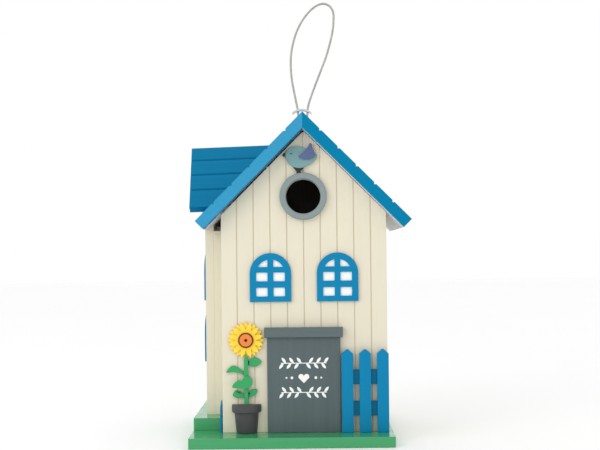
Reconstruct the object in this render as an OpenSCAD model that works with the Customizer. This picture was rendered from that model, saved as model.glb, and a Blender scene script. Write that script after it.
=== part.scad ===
// Hanging wooden birdhouse: a main house with a shallow gabled wing at its left,
// cut-out trim on the front, a clean-out door at the back and a wire hanging loop.
// Millimetres, +Z up, the front faces -Y. The origin is on the underside of the base,
// below the main ridge and half-way along the depth of the base.

/* [House] */
// Width of the main house over its side walls
house_w = 153; // [145:1:160]
// Depth of the main house over its front and back walls
house_d = 144; // [140:1:150]
// Thickness of the wall boards
wall_t = 8; // [6:0.5:9]
// Distance between the grooves of the wall cladding
groove_pitch = 15.5; // [12:0.5:20]
// Width of a wall groove at the face
groove_w = 1.3; // [1:0.1:2.4]

/* [Base] */
// Thickness of the base board
base_t = 9.5; // [8:0.5:12]
// Thickness of the board under the wing
wing_base_t = 11.4; // [8:0.2:12]
// Base board left of the main ridge
base_left = 105; // [102:1:110]
// Base board right of the main ridge
base_right = 81; // [80:1:90]
// Base board in front of the front wall
base_front = 32; // [18:1:36]
// Base board behind the back wall
base_back = 20; // [5:1:24]

/* [Main roof] */
// Height of the ridge above the underside of the base
ridge_z = 304.2; // [300:0.2:308]
// Thickness of the roof boards
roof_t = 10.5; // [8:0.5:11]
// Distance from the ridge to the eave, measured level
roof_half_w = 99.2; // [96:0.2:101]
// Roof in front of the front wall
roof_front = 14; // [10:1:36]
// Roof behind the back wall
roof_back = 12; // [10:1:16]
// Roof boards shown by the grooves on each slope
roof_boards = 6; // [4:1:7]
// Width of a roof groove at the surface
roof_groove_w = 3; // [2:0.1:3.4]
// Shadow gap between the front wall and the left slope
front_gap_left = 1.5; // [0.2:0.1:2]
// Shadow gap between the front wall and the right slope
front_gap_right = 0.4; // [0.2:0.1:2]

/* [Wing] */
// Width of the wing's gable wall
wing_w = 104; // [100:1:106]
// How far the wing stands out from the main side wall
wing_out = 18; // [16:0.5:20]
// Wing wall behind the front wall's face
wing_setback = 35; // [33:1:37]
// Height of the wing's ridge
wing_ridge_z = 282.2; // [280:0.2:286]
// Thickness of the wing's roof boards
wing_roof_t = 6.5; // [5:0.5:10]
// Level distance from the wing's ridge to its eaves
wing_roof_half_w = 62.4; // [59:0.2:64]
// Roof boards on each slope of the wing
wing_roof_boards = 4; // [3:1:5]
// Fall of the wing's ridge towards its gable, in degrees
wing_roof_fall = 1.8; // [0:0.1:3]
// Roof past the wing's gable wall at the eaves
wing_verge = 13.9; // [12:0.1:15]
// How much further the roof reaches past that wall at the wing's ridge
wing_verge_lean = 4; // [0:0.5:6]
// Height of the boards that close the wing's ends
wing_filler_z = 197; // [190:1:201]

/* [Entrance] */
// Radius of the entrance hole
entrance_r = 16; // [14:0.5:17]
// Height of the entrance hole's centre
entrance_z = 227.3; // [226:0.1:232]
// Outer radius of the entrance ring
ring_r = 21.8; // [20:0.1:23]
// Thickness of the entrance ring
ring_t = 5; // [3:0.5:6]

/* [Windows] */
// Width of a window frame
window_w = 38.3; // [34:0.1:40]
// Height of a window frame
window_h = 45; // [42:0.5:46]
// Height of the upper window sills
window_z = 130.1; // [128:0.1:134]
// Distance between the front windows
window_pitch = 62; // [56:1:64]
// Sill of the wing's lower windows
lower_window_z = 71; // [68:1:75]
// Distance between the wing's windows
wing_window_pitch = 46.7; // [44:0.1:50]

/* [Door] */
// Width of the front door panel
door_w = 67.5; // [60:0.1:70]
// Height of the front door panel
door_h = 87.8; // [84:0.1:92]
// Width of the board over the door
lintel_w = 72.6; // [70:0.1:74]
// Height of the board over the door
lintel_h = 9.1; // [8:0.1:10]

/* [Fence] */
// Height of the front pickets
picket_h = 76.4; // [70:0.1:84]
// Width of a picket
picket_w = 10.7; // [8:0.1:12]
// Distance between pickets
picket_pitch = 16.35; // [14:0.05:17]
// Height of the pickets on the side wall
side_picket_h = 29.3; // [24:0.1:40]

/* [Sunflower] */
// Radius over the petal tips
petal_r = 17.2; // [14:0.1:18]
// Petals in each of the two layers
petals = 12; // [8:1:14]
// Height of the pot
pot_h = 26.2; // [24:0.1:29]
// Width of the pot's rim
pot_rim_w = 27.3; // [24:0.1:29]

/* [Clean-out door] */
// Width of the clean-out opening
hatch_w = 80; // [70:1:82]
// Height of the clean-out opening
hatch_h = 110; // [90:1:115]
// Sill of the clean-out opening
hatch_z = 40; // [30:1:50]
// Gap around the clean-out door
hatch_gap = 0.8; // [0.5:0.1:1.5]
// Length of the turn button that holds it shut
button_l = 30; // [28:1:34]

/* [Hanging loop] */
// Diameter of the wire rope
rope_d = 2.2; // [1.6:0.1:2.4]
// Distance between the two holes that the rope goes through
rope_pitch = 8.8; // [8:0.1:10]

/* [Hidden] */
$fn = 64;
root2 = sqrt(2);
eps = 0.5;

cream = "#ECE4D0";
blue = "#0A82B9";
green = "#4AA26E";
slate = "#5F6C70";
grey = "#8C969B";
charcoal = "#4B4B4E";
yellow = "#FCCD2D";
orange = "#F58C50";
brown = "#5A2D0A";
leaf_green = "#46AA73";
bird_blue = "#7AA6AC";
bird_purple = "#6267A5";
black = "#241F1C";
white = "#F4F4F2";
raw_wood = "#D2B48C";
steel = "#AFB0AA";
aluminium = "#C8CBCB";
brass = "#B59A4C";

// Base and walls
base_d = base_front + house_d + base_back;
front_y = base_front - base_d / 2;
back_y = front_y + house_d;
half_w = house_w / 2;
inner_x = half_w - wall_t;
groove_lip = 0.15;
gable_flat = 1.5;
wall_grooves = 2 * floor((half_w - 6) / groove_pitch) + 1;

// Main roof: both slopes are at 45 degrees
roof_y0 = front_y - roof_front;
roof_y1 = back_y + roof_back;
roof_board_x = roof_half_w / roof_boards;
roof_groove_side = roof_groove_w / root2;
function under(x) = ridge_z - roof_t * root2 - abs(x);

// Wing
wing_y0 = front_y + wing_setback;
wing_y1 = wing_y0 + wing_w;
wing_y = (wing_y0 + wing_y1) / 2;
wing_x = -half_w - wing_out;
wing_inner_x = wing_x + wall_t;
side_grooves = 7;
// How far the wing roof's grooves sit above an even spacing
wing_groove_rise = 2.2;
wing_base_y0 = wing_y0 - 21;
wing_base_y1 = wing_y1 + 12;
wing_base_top = base_t + wing_base_t;
wing_base_x1 = -half_w;
wing_roof_x = wing_x - wing_verge;
wing_verge_cut = wing_verge_lean - wing_roof_half_w * sin(wing_roof_fall);
wing_wall_gap = 0.3;
function wing_top(y) = wing_ridge_z - wing_roof_t * root2 - wing_wall_gap - abs(y - wing_y);

// Windows, with sizes measured from the sill of the frame
backing_t = 1;
backing_inset = 1.5;
frame_t = 1.4;
mullion = 5.4;
pane_w = 10.6;
pane_h = 8.1;
pane_r = 0.8;
pane_rows = [5, 19];
top_pane_z = 32.2;
top_pane_border = 5.9;

// Front door
door_x = -1;
door_t = 4.5;
lintel_t = 8;
ornament_t = 0.4;
ornament_z = base_t + 50.5;
sprig_w = 42;
sprig_dz = 13.5;
sprig_leaves = 6;

// Fences
rail_t = 3.5;
picket_t = 4.5;
picket_x = 55.4;
picket_point = 4;
rail_h = 13.4;
rail_z = [base_t + 14.9, base_t + 43.9];
side_picket_t = 1.5;
side_picket_bevel = 8;
side_picket_y = front_y + 6;

// Sunflower
flower_x = -54.3;
head_z = 94.9;
petal_t = 1.5;
disc_r = 5.8;
disc_ring_r = 7;
disc_t = 1.2;
disc_dot_r = 1.3;
stem_w = 3.7;
stem_t = 4.5;
stem_tip_z = 82;
leaf_t = 2.5;
middle_leaf_t = 1.5;
pot_rim_h = 7;
pot_top_w = 22.7;
pot_foot_w = 19.3;
// Outlines from the stem's centre line and the underside of the base
leaf_upper_right = [[1, 73.6], [4.6, 77.4], [9, 78.9], [14.3, 74.8], [9.8, 70.8], [4.6, 70.8]];
leaf_upper_left = [[-18.2, 65.3], [-16, 69.2], [-11.7, 71.4], [-7, 69.4], [-3.4, 66.6], [1, 65],
    [1, 61.4], [-3.6, 63.4], [-8, 65.2], [-13.4, 65.4]];
leaf_lower_left = [[-12.6, 45], [-10.6, 48], [-7.4, 48.6], [-4.2, 46.4], [1, 44.4], [1, 42.2],
    [-4.4, 41.8], [-8.6, 41.6], [-11.6, 43]];
leaf_lower_right = [[-1, 42.2], [4, 42.4], [7.6, 43.8], [9.8, 46.6], [9.8, 49.2], [6.4, 49.4],
    [3.2, 47.6], [-1, 46]];
leaf_middle = [[-12.8, 52], [-11, 55.6], [-7.4, 58.2], [-4, 58.4], [-1.8, 61], [1.6, 62],
    [4.8, 60.4], [6, 57], [5.2, 53.4], [2.4, 51.2], [-1.4, 50.4], [-5.4, 50.8], [-9.4, 51.2]];

// Bird, with outlines from its own centre
bird_x = -1.6;
bird_z = 263;
bird_t = 3;
bird_wing_t = 2;
bird_outline = [[-14.4, 2.2], [-12.4, 7], [-8.6, 9.6], [-3.6, 10.3], [3.2, 9], [9.6, 5.4],
    [14.6, 2.6], [13.4, -1.6], [8.8, -5.6], [3.6, -8.4], [-1.4, -9.6], [-7.2, -8.4],
    [-11.8, -4.6]];
bird_wing_outline = [[-2.4, 1], [1.4, -1.2], [6, -1.6], [10, -0.4], [13, 2.2], [12.4, 5],
    [10.8, 8.4], [10, 12.2], [8.4, 13], [6.6, 10], [4.2, 6.4], [1.4, 3.6]];
beak_outline = [[-16.8, 1.6], [-16, 4.2], [-12, 4.6], [-12, 1.2]];
leg_outline = [[-7.2, -6], [2, -6], [2, -9.8], [-0.6, -12.4], [-0.2, -16], [-4.6, -16], [-4.2, -12.6],
    [-7.2, -9]];

// Clean-out door, its hinges and its turn button
hinge_x = hatch_w / 2;
hinge_h = 22;
hinge_inset = 20;
knuckle_r = 2.2;
hinge_pin_r = 1;
hinge_clearance = 0.05;
hinge_leaf_w = 14;
hinge_leaf_t = 1;
knuckle_gap = 0.2;
knuckle_l = (hinge_h - 2 * knuckle_gap) / 3;
hinge_y = back_y + knuckle_r;
hinge_z = [hatch_z + hinge_inset, hatch_z + hatch_h - hinge_inset];
hinge_screw_r = 0.9;
hinge_screw_l = 6;
hinge_screw_x = 11;
hinge_screw_dz = 6.5;
knob_r = 6;
knob_h = 10;
knob_x = -24;
button_x = -hatch_w / 2 - 10;
button_z = hatch_z + hatch_h / 2;
button_w = 9;
button_t = 3;
button_gap = 0.2;
button_screw_r = 1.5;
button_clearance = 0.05;
button_screw_head_r = 3.2;

// Fasteners
screw_r = 1.75;
screw_head_r = 3.5;
screw_head_h = 2;
screw_l = 28;
screw_recess = 0.4;
wing_screw_l = 36;
screw_places = [[-50, front_y + wall_t / 2], [50, front_y + wall_t / 2],
    [-50, back_y - wall_t / 2], [50, back_y - wall_t / 2],
    [-half_w + wall_t / 2, 6], [half_w - wall_t / 2, 6]];
wing_screw_places = [[wing_x + wall_t / 2, wing_y - 30], [wing_x + wall_t / 2, wing_y + 30]];
nail_r = 0.8;
nail_head_r = 1.6;
nail_head_t = 0.6;
nail_l = 24;
nail_x = [2.5 * roof_board_x, 4.5 * roof_board_x];
nail_y = [front_y + wall_t / 2, back_y - wall_t / 2];

// Hanging loop
hanger_y = (roof_y0 + roof_y1) / 2;
rope_sides = 8;
rope_hole_r = rope_d / 2 + 0.6;
block_half_w = 15;
block_l = 40;
plate_t = 1.2;
plate_w = 22;
plate_l = 9;
ferrule_r = 2.4;
ferrule_h = 9;
block_z = under(block_half_w);
rope_end_z = block_z - plate_t;
clamp_x = -0.9;
clamp_z = 318;
clamp_half_w = 9.5;
clamp_r = 15;
clamp_t = 1.8;
clamp_l = 5;
// The rope's centre line as X and Z, from the left ferrule over the loop to the right one
rope_route = [[-4.4, rope_end_z], [-4.4, 278], [-4.4, 286], [-4.4, 294], [-4.4, 302], [-4.4, 309],
    [-4.8, 316], [-6.4, 325], [-8.6, 336], [-10.6, 348], [-11.4, 360], [-11, 372], [-8.8, 384],
    [-4.8, 396], [1, 406.6], [8, 415.2], [15, 420.6], [21.8, 422.4], [27.6, 420], [31.2, 413.8],
    [31.4, 404], [30.2, 394], [27.4, 382], [23.8, 370], [19.2, 358], [14.4, 346], [9.8, 334],
    [6, 323], [4.6, 315], [4.4, 308], [4.4, 301], [4.4, 294], [4.4, 286], [4.4, 278],
    [4.4, rope_end_z]];

// ---- Shared shapes ----

// An outline in X and Z, extruded from y0 to y1
module along_y(y0, y1) {
    translate([0, y1, 0]) rotate([90, 0, 0]) linear_extrude(y1 - y0) children();
}

// An outline in Y and Z, extruded from x0 to x1
module along_x(x0, x1) {
    translate([x0, 0, 0]) rotate([90, 0, 90]) linear_extrude(x1 - x0) children();
}

// A box between two corners
module block(low, high) {
    translate(low) cube(high - low);
}

// A trim piece on the front wall, from the wall's face out to t, starting at off
module on_front(t, off = 0) {
    along_y(front_y - off - t, front_y - off) children();
}

module rounded_rect(w, h, r) {
    translate([-w / 2 + r, 0]) square([w - 2 * r, h]);
    translate([-w / 2, r]) square([w, h - 2 * r]);
    for (x = [-w / 2 + r, w / 2 - r], y = [r, h - r]) translate([x, y]) circle(r);
}

// A point between p1 and p2 on the smooth curve through four points
function between(p0, p1, p2, p3, t) = 0.5 * (2 * p1 + (p2 - p0) * t
    + (2 * p0 - 5 * p1 + 4 * p2 - p3) * t * t + (3 * p1 - p0 - 3 * p2 + p3) * t * t * t);

// A smooth closed outline through a list of points
function smooth_outline(p, steps = 5) = let (n = len(p)) [
    for (i = [0 : n - 1], k = [0 : steps - 1])
        between(p[(i + n - 1) % n], p[i], p[(i + 1) % n], p[(i + 2) % n], k / steps)
];

// A V each way from the face, with short upright lips
module groove_outline() {
    lip_x = groove_w / 2 - groove_lip;
    polygon([
        [0, -groove_w / 2],
        [lip_x, -groove_lip],
        [lip_x, groove_lip],
        [0, groove_w / 2],
        [-lip_x, groove_lip],
        [-lip_x, -groove_lip]
    ]);
}

// Bars that cut the grooves down a wall, centred on the face at [0, 0]
module cladding_cuts(count, z0, z1) {
    for (i = [0 : count - 1]) {
        translate([(i - (count - 1) / 2) * groove_pitch, 0, z0])
            linear_extrude(z1 - z0) groove_outline();
    }
}

// ---- Base ----

module base_board() {
    color(green)
        difference() {
            block([-base_left, -base_d / 2, 0], [base_right, base_d / 2, base_t]);
            screw_group();
            screw_mouths();
        }
}

module wing_base_board() {
    color(green)
        difference() {
            block([-base_left, wing_base_y0, base_t], [wing_base_x1, wing_base_y1, wing_base_top]);
            screw_group();
        }
}

// A countersunk wood screw, head down at z = 0
module wood_screw(l) {
    cylinder(r1 = screw_head_r, r2 = screw_r, h = screw_head_h);
    cylinder(r = screw_r, h = l - 3);
    translate([0, 0, l - 3]) cylinder(r1 = screw_r, r2 = 0.4, h = 3);
}

module screw_group() {
    for (p = screw_places) translate([p[0], p[1], screw_recess]) wood_screw(screw_l);
    for (p = wing_screw_places) translate([p[0], p[1], screw_recess]) wood_screw(wing_screw_l);
}

// The countersinks are open below, so that each head sits under the board's face
module screw_mouths() {
    for (p = concat(screw_places, wing_screw_places))
        translate([p[0], p[1], -eps]) cylinder(r = screw_head_r, h = screw_recess + eps);
}

module base_screws() {
    color(steel) screw_group();
}

// ---- Walls ----

// The gable's outline, with a shadow gap under each slope and a narrow flat at the top
module gable_outline(gap_left, gap_right) {
    drop_left = gap_left * root2;
    drop_right = gap_right * root2;
    polygon([
        [-half_w, base_t],
        [half_w, base_t],
        [half_w, under(half_w) - drop_right],
        [gable_flat, under(gable_flat) - drop_right],
        [-gable_flat, under(gable_flat) - drop_left],
        [-half_w, under(half_w) - drop_left]
    ]);
}

// The front wall's grooves stop behind the entrance ring, which has a flat seat
module front_grooves() {
    seat_r = (entrance_r + ring_r) / 2;
    difference() {
        translate([0, front_y, 0]) cladding_cuts(wall_grooves, base_t - eps, ridge_z);
        translate([0, front_y, entrance_z])
            rotate([90, 0, 0])
                cylinder(r = seat_r, h = 2 * groove_w, center = true);
    }
}

module front_wall() {
    color(cream)
        difference() {
            along_y(front_y, front_y + wall_t) gable_outline(front_gap_left, front_gap_right);
            front_grooves();
            translate([0, front_y - eps, entrance_z])
                rotate([-90, 0, 0])
                    cylinder(r = entrance_r, h = wall_t + 2 * eps);
            screw_group();
            nail_group(-1, [nail_y[0]]);
            nail_group(1, [nail_y[0]]);
        }
}

module back_wall() {
    color(cream)
        difference() {
            along_y(back_y - wall_t, back_y) gable_outline(0, 0);
            translate([0, back_y, 0]) cladding_cuts(wall_grooves, base_t - eps, ridge_z);
            block([-hatch_w / 2, back_y - wall_t - eps, hatch_z],
                [hatch_w / 2, back_y + eps, hatch_z + hatch_h]);
            screw_group();
            nail_group(-1, [nail_y[1]]);
            nail_group(1, [nail_y[1]]);
            hinge_frame_screws();
            turn_button_screw();
        }
}

// A side wall between the front and back walls, with its top cut to the roof's slope
module side_wall(side) {
    difference() {
        along_y(front_y + wall_t, back_y - wall_t)
            polygon([
                [side * inner_x, base_t],
                [side * half_w, base_t],
                [side * half_w, under(half_w)],
                [side * inner_x, under(inner_x)]
            ]);
        translate([side * half_w, (front_y + back_y) / 2, 0])
            rotate(90)
                cladding_cuts(side_grooves, base_t - eps, under(half_w) + eps);
        screw_group();
    }
}

module left_wall() {
    color(cream) side_wall(-1);
}

module right_wall() {
    color(cream) side_wall(1);
}

// ---- Wing ----

module wing_gable_wall() {
    color(cream)
        difference() {
            along_x(wing_x, wing_inner_x)
                polygon([
                    [wing_y0, wing_base_top],
                    [wing_y1, wing_base_top],
                    [wing_y1, wing_top(wing_y1)],
                    [wing_y + gable_flat, wing_top(wing_y + gable_flat)],
                    [wing_y - gable_flat, wing_top(wing_y - gable_flat)],
                    [wing_y0, wing_top(wing_y0)]
                ]);
            translate([wing_x, wing_y, 0]) rotate(90) cladding_cuts(side_grooves, base_t, wing_ridge_z);
            screw_group();
        }
}

module wing_filler(y0) {
    block([wing_inner_x, y0, wing_base_top], [-half_w, y0 + wall_t, wing_filler_z]);
}

module wing_front_filler() {
    color(cream) wing_filler(wing_y0);
}

module wing_back_filler() {
    color(cream) wing_filler(wing_y1 - wall_t);
}

// ---- Roofs ----

// One slope's section: the ridge is at [0, top], the eave is out at half_w and cut square
module slope_outline(side, top, reach, thick) {
    eave_cut = thick / root2;
    polygon([
        [0, top],
        [side * reach, top - reach],
        [side * (reach - eave_cut), top - reach - eave_cut],
        [0, top - thick * root2]
    ]);
}

// Grooves across a slope, one at the top edge of each board, counted up from the eave
module roof_grooves(side, top, reach, boards, l, rise = 0) {
    for (i = [1 : boards - 1]) {
        x = reach * (1 - i / boards) - rise;
        translate([side * x, 0, top - x])
            cube([roof_groove_side, l, roof_groove_side], center = true);
    }
}

module main_slope(side) {
    difference() {
        along_y(roof_y0, roof_y1) slope_outline(side, ridge_z, roof_half_w, roof_t);
        translate([0, (roof_y0 + roof_y1) / 2, 0])
            roof_grooves(side, ridge_z, roof_half_w, roof_boards, roof_y1 - roof_y0 + 2 * eps);
        rope_holes();
        nail_group(side, nail_y);
    }
}

module roof_panel_right() {
    color(blue) main_slope(1);
}

module roof_panel_left() {
    color(blue)
        difference() {
            main_slope(-1);
            block([-roof_half_w - eps, wing_y0, wing_filler_z - 10],
                [wing_inner_x, wing_y1, ridge_z]);
        }
}

// A wing slope as cut, level: its verge leans out towards the ridge
module level_wing_slope(side) {
    verge_x = wing_roof_x - wing_verge_lean;
    difference() {
        translate([0, wing_y, 0])
            along_x(verge_x - eps, -wing_roof_t)
                slope_outline(side, wing_ridge_z, wing_roof_half_w, wing_roof_t);
        translate([0, wing_y, 0])
            rotate(90)
                roof_grooves(side, wing_ridge_z, wing_roof_half_w, wing_roof_boards,
                    3 * roof_half_w, wing_groove_rise);
        along_y(wing_y - wing_w, wing_y + wing_w)
            polygon([
                [verge_x - wing_verge_cut, wing_ridge_z + wing_roof_half_w],
                [verge_x + 2 * wing_verge_cut, wing_ridge_z - 2 * wing_roof_half_w],
                [verge_x - wing_verge, wing_ridge_z - 2 * wing_roof_half_w],
                [verge_x - wing_verge, wing_ridge_z + wing_roof_half_w]
            ]);
    }
}

// The same slope where it lies, cut off where it meets the top of the main roof
module wing_slope(side) {
    difference() {
        translate([wing_x, 0, wing_ridge_z])
            rotate([0, -wing_roof_fall, 0])
                translate([-wing_x, 0, -wing_ridge_z]) level_wing_slope(side);
        along_y(roof_y0, roof_y1)
            polygon([[0, ridge_z], [-ridge_z, 0], [0, 0]]);
    }
}

module wing_roof_front() {
    color(blue) wing_slope(-1);
}

module wing_roof_back() {
    color(blue) wing_slope(1);
}

// A round-headed nail square to a slope, its head flush with the roof
module nail() {
    translate([0, 0, -nail_head_t]) cylinder(r = nail_head_r, h = nail_head_t);
    translate([0, 0, -nail_l]) cylinder(r = nail_r, h = nail_l - nail_head_t);
}

module nail_group(side, rows) {
    for (x = nail_x, y = rows) translate([side * x, y, ridge_z - x]) rotate([0, side * 45, 0]) nail();
}

module roof_nails() {
    color(steel) {
        nail_group(-1, nail_y);
        nail_group(1, nail_y);
    }
}

// ---- Entrance and windows ----

module entrance_ring() {
    round_r = 1.2;
    w = ring_r - entrance_r;
    color(grey)
        translate([0, front_y, entrance_z])
            rotate([90, 0, 0])
                rotate_extrude()
                    translate([entrance_r, 0]) {
                        square([w, ring_t - round_r]);
                        translate([round_r, 0]) square([w - 2 * round_r, ring_t]);
                        for (x = [round_r, w - round_r])
                            translate([x, ring_t - round_r]) circle(round_r);
                    }
}

module arch_outline(w, h) {
    translate([-w / 2, 0]) square([w, h - w / 2]);
    translate([0, h - w / 2]) circle(w / 2);
}

module window_outline() {
    difference() {
        arch_outline(window_w, window_h);
        for (side = [-1, 1], z = pane_rows)
            translate([side * (mullion + pane_w) / 2, z]) rounded_rect(pane_w, pane_h, pane_r);
        for (side = [-1, 1])
            intersection() {
                translate([0, window_h - window_w / 2]) circle(window_w / 2 - top_pane_border);
                translate([side * (mullion + window_w) / 2 - window_w / 2, top_pane_z])
                    square([window_w, window_h]);
            }
    }
}

module backing_outline() {
    translate([0, backing_inset])
        arch_outline(window_w - 2 * backing_inset, window_h - 2 * backing_inset);
}

module front_window(side) {
    on_front(frame_t, backing_t)
        translate([side * window_pitch / 2, window_z]) window_outline();
}

module front_window_left() {
    color(blue) front_window(-1);
}

module front_window_right() {
    color(blue) front_window(1);
}

function wing_window_place(i) = [
    wing_y + (i % 2 == 0 ? -0.5 : 0.5) * wing_window_pitch,
    i < 2 ? window_z : lower_window_z
];

module wing_window(i) {
    color(blue)
        along_x(wing_x - backing_t - frame_t, wing_x - backing_t)
            translate(wing_window_place(i)) window_outline();
}

module window_backings() {
    color(white) {
        for (side = [-1, 1])
            on_front(backing_t) translate([side * window_pitch / 2, window_z]) backing_outline();
        for (i = [0 : 3])
            along_x(wing_x - backing_t, wing_x)
                translate(wing_window_place(i)) backing_outline();
    }
}

// ---- Front door ----

module door_panel() {
    color(slate)
        block([door_x - door_w / 2, front_y - door_t, base_t],
            [door_x + door_w / 2, front_y, base_t + door_h]);
}

module door_lintel() {
    color(slate)
        block([door_x - lintel_w / 2, front_y - lintel_t, base_t + door_h],
            [door_x + lintel_w / 2, front_y, base_t + door_h + lintel_h]);
}

// An almond leaf from the origin along +X
module almond(l, w) {
    r = (l * l + w * w) / (4 * w);
    intersection() {
        translate([l / 2, r - w / 2]) circle(r);
        translate([l / 2, w / 2 - r]) circle(r);
    }
}

// A level sprig: a thin stalk with leaves in pairs, pointing up on one side and down on the other
module sprig() {
    translate([-sprig_w / 2, -0.4]) square([sprig_w, 0.8]);
    for (i = [0 : sprig_leaves - 1], side = [-1, 1]) {
        x = (i - (sprig_leaves - 1) / 2) * sprig_w / sprig_leaves;
        translate([x + side * 1.2, 0]) rotate(x < 0 ? 180 - side * 52 : side * 52) almond(6.6, 2.6);
    }
}

module heart(w) {
    r = w / 4;
    for (side = [-1, 1]) translate([side * r, 0]) circle(r);
    polygon([[-2 * r, 0], [-1.96 * r, -0.4 * r], [0, -2.4 * r], [1.96 * r, -0.4 * r], [2 * r, 0]]);
}

module door_ornament() {
    color(white)
        on_front(ornament_t, door_t)
            translate([door_x, ornament_z]) {
                for (side = [-1, 1]) translate([0, side * sprig_dz]) sprig();
                translate([0, 1]) heart(10);
                for (side = [-1, 1]) translate([side * 11, 0]) circle(1.3);
                for (side = [-1, 1]) translate([side * 16, 0]) circle(0.9);
            }
}

// ---- Fences ----

module picket_outline(h) {
    polygon([
        [-picket_w / 2, 0],
        [picket_w / 2, 0],
        [picket_w / 2, h - picket_point],
        [0.8, h],
        [-0.8, h],
        [-picket_w / 2, h - picket_point]
    ]);
}

module fence_picket(i) {
    color(blue)
        on_front(picket_t, rail_t)
            translate([picket_x + (i - 1) * picket_pitch, base_t]) picket_outline(picket_h);
}

module fence_rails() {
    color(blue)
        for (z = rail_z)
            on_front(rail_t)
                translate([picket_x - picket_pitch - 2, z])
                    square([2 * picket_pitch + 4, rail_h]);
}

// A short picket on the left wall, its top bevelled to a thin edge
module side_fence_picket() {
    face_x = -half_w - 1;
    color(blue)
        intersection() {
            along_x(face_x - side_picket_t, face_x)
                translate([side_picket_y, base_t]) picket_outline(side_picket_h);
            along_y(front_y, wing_base_y0)
                polygon([
                    [face_x, base_t],
                    [face_x, base_t + side_picket_h],
                    [face_x - side_picket_t / 2, base_t + side_picket_h],
                    [face_x - side_picket_t, base_t + side_picket_h - side_picket_bevel],
                    [face_x - side_picket_t, base_t]
                ]);
        }
}

module side_fence_rail() {
    color(blue)
        block([-half_w - 1, front_y + 1, base_t + 8],
            [-half_w, wing_base_y0 - 1, base_t + 14]);
}

// ---- Sunflower ----

// A ring of pointed petals around the origin
module petal_ring(r) {
    step = 360 / petals;
    polygon([
        for (i = [0 : petals - 1])
            for (p = [[0.56, -0.5], [0.78, -0.31], [1, 0], [0.78, 0.31]])
                r * p[0] * [sin((i + p[1]) * step), cos((i + p[1]) * step)]
    ]);
}

module flower_petals_back() {
    color(yellow)
        on_front(petal_t) translate([flower_x, head_z]) petal_ring(petal_r);
}

module flower_petals_front() {
    color(yellow)
        on_front(petal_t, petal_t)
            translate([flower_x, head_z]) rotate(180 / petals) petal_ring(petal_r - 0.4);
}

module flower_disc() {
    color(orange)
        on_front(disc_t, 2 * petal_t) translate([flower_x, head_z]) circle(disc_r);
}

module flower_disc_ring() {
    color(brown)
        on_front(disc_t, 2 * petal_t)
            translate([flower_x, head_z])
                difference() {
                    circle(disc_ring_r);
                    circle(disc_r);
                }
}

module flower_disc_centre() {
    color(brown)
        on_front(0.6, 2 * petal_t + disc_t) translate([flower_x, head_z]) circle(disc_dot_r);
}

module stem_outline() {
    foot = base_t + pot_h;
    polygon([
        [-stem_w / 2, foot],
        [stem_w / 2, foot],
        [stem_w / 2, stem_tip_z - 5],
        [0.3, stem_tip_z],
        [-0.3, stem_tip_z],
        [-stem_w / 2, stem_tip_z - 5]
    ]);
}

// The stem's top is halved over the lowest petals
module flower_stem() {
    head_foot = head_z - petal_r - 0.2;
    color(leaf_green)
        difference() {
            on_front(stem_t) translate([flower_x, 0]) stem_outline();
            block([flower_x - stem_w, front_y - 2 * petal_t, head_foot],
                [flower_x + stem_w, front_y + eps, stem_tip_z + eps]);
        }
}

module flower_leaves() {
    color(leaf_green)
        on_front(leaf_t)
            translate([flower_x, 0])
                difference() {
                    for (p = [leaf_upper_right, leaf_upper_left, leaf_lower_left, leaf_lower_right])
                        polygon(smooth_outline(p));
                    stem_outline();
                }
}

module flower_middle_leaf() {
    color(leaf_green)
        on_front(middle_leaf_t, stem_t)
            translate([flower_x, 0]) polygon(smooth_outline(leaf_middle));
}

// A half-round turned pot against the wall
module flower_pot() {
    rim_foot = pot_h - pot_rim_h;
    color(charcoal)
        translate([flower_x, front_y, base_t])
            rotate(180)
                rotate_extrude(angle = 180)
                    polygon([
                        [0, 0],
                        [pot_foot_w / 2 - 0.6, 0],
                        [pot_foot_w / 2, 0.6],
                        [pot_top_w / 2, rim_foot],
                        [pot_rim_w / 2 - 0.5, rim_foot],
                        [pot_rim_w / 2, rim_foot + 0.5],
                        [pot_rim_w / 2, pot_h - 0.8],
                        [pot_rim_w / 2 - 0.8, pot_h],
                        [0, pot_h]
                    ]);
}

// ---- Bird ----

module bird_shape() {
    polygon(smooth_outline(bird_outline));
}

module bird_body() {
    color(bird_blue) on_front(bird_t) translate([bird_x, bird_z]) bird_shape();
}

module bird_wing() {
    color(bird_purple)
        on_front(bird_wing_t, bird_t)
            translate([bird_x, bird_z]) polygon(smooth_outline(bird_wing_outline));
}

module bird_beak() {
    color(black)
        on_front(bird_t)
            translate([bird_x, bird_z])
                difference() {
                    polygon(smooth_outline(beak_outline));
                    bird_shape();
                }
}

// Two splayed legs in one piece, cut to the bird above and to the ring below
module bird_legs() {
    color(black)
        on_front(bird_t)
            difference() {
                translate([bird_x, bird_z]) polygon(leg_outline);
                translate([bird_x, bird_z]) bird_shape();
                translate([0, entrance_z]) circle(ring_r);
            }
}

// ---- Hanging loop ----

module rope_holes() {
    for (side = [-1, 1])
        translate([side * rope_pitch / 2, hanger_y, rope_end_z - eps])
            cylinder(r = rope_hole_r, h = ridge_z - rope_end_z + eps);
}

module ridge_block() {
    color(raw_wood)
        difference() {
            along_y(hanger_y - block_l / 2, hanger_y + block_l / 2)
                polygon([[0, under(0)], [block_half_w, block_z], [-block_half_w, block_z]]);
            rope_holes();
        }
}

module loop_plate() {
    color(steel)
        difference() {
            block([-plate_w / 2, hanger_y - plate_l / 2, rope_end_z],
                [plate_w / 2, hanger_y + plate_l / 2, block_z]);
            rope_holes();
        }
}

module loop_ferrules() {
    color(aluminium)
        for (side = [-1, 1])
            translate([side * rope_pitch / 2, hanger_y, rope_end_z - ferrule_h])
                cylinder(r = ferrule_r, h = ferrule_h);
}

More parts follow.
